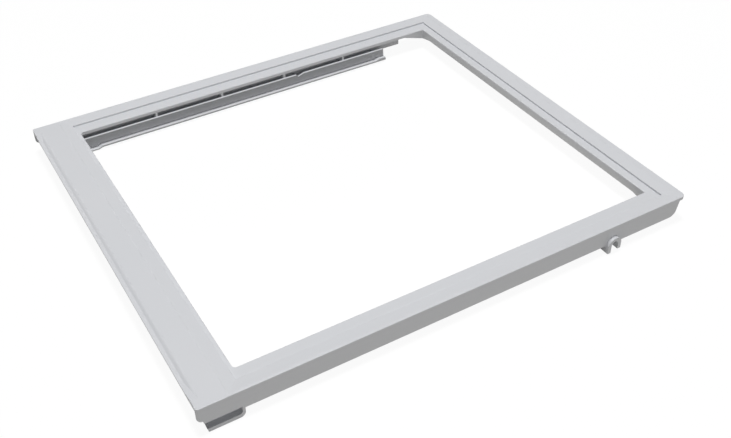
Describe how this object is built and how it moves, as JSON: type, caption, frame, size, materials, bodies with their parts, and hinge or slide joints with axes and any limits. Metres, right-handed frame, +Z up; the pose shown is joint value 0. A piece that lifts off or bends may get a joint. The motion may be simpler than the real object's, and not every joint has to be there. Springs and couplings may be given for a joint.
{
  "type": "crisper cover frame",
  "caption": "Rectangular moulded refrigerator shelf frame with a wide front bar, a stepped ledge for a glass panel, under-slung drawer rails, side walls, feet and pin saddles.",
  "frame": {"origin": "under the middle of the plan, on the level surface that the feet stand on", "axes": "+X to the right seen from the front, +Y to the rear along the drawer's travel, +Z up through the deck"},
  "size_m": [0.396, 0.4436, 0.026],
  "materials": {
    "frame_plastic": "satin, injection moulded"
  },
  "bodies": {
    "root": {"cover_frame": "frame_plastic"}
  },
  "joints": []
}
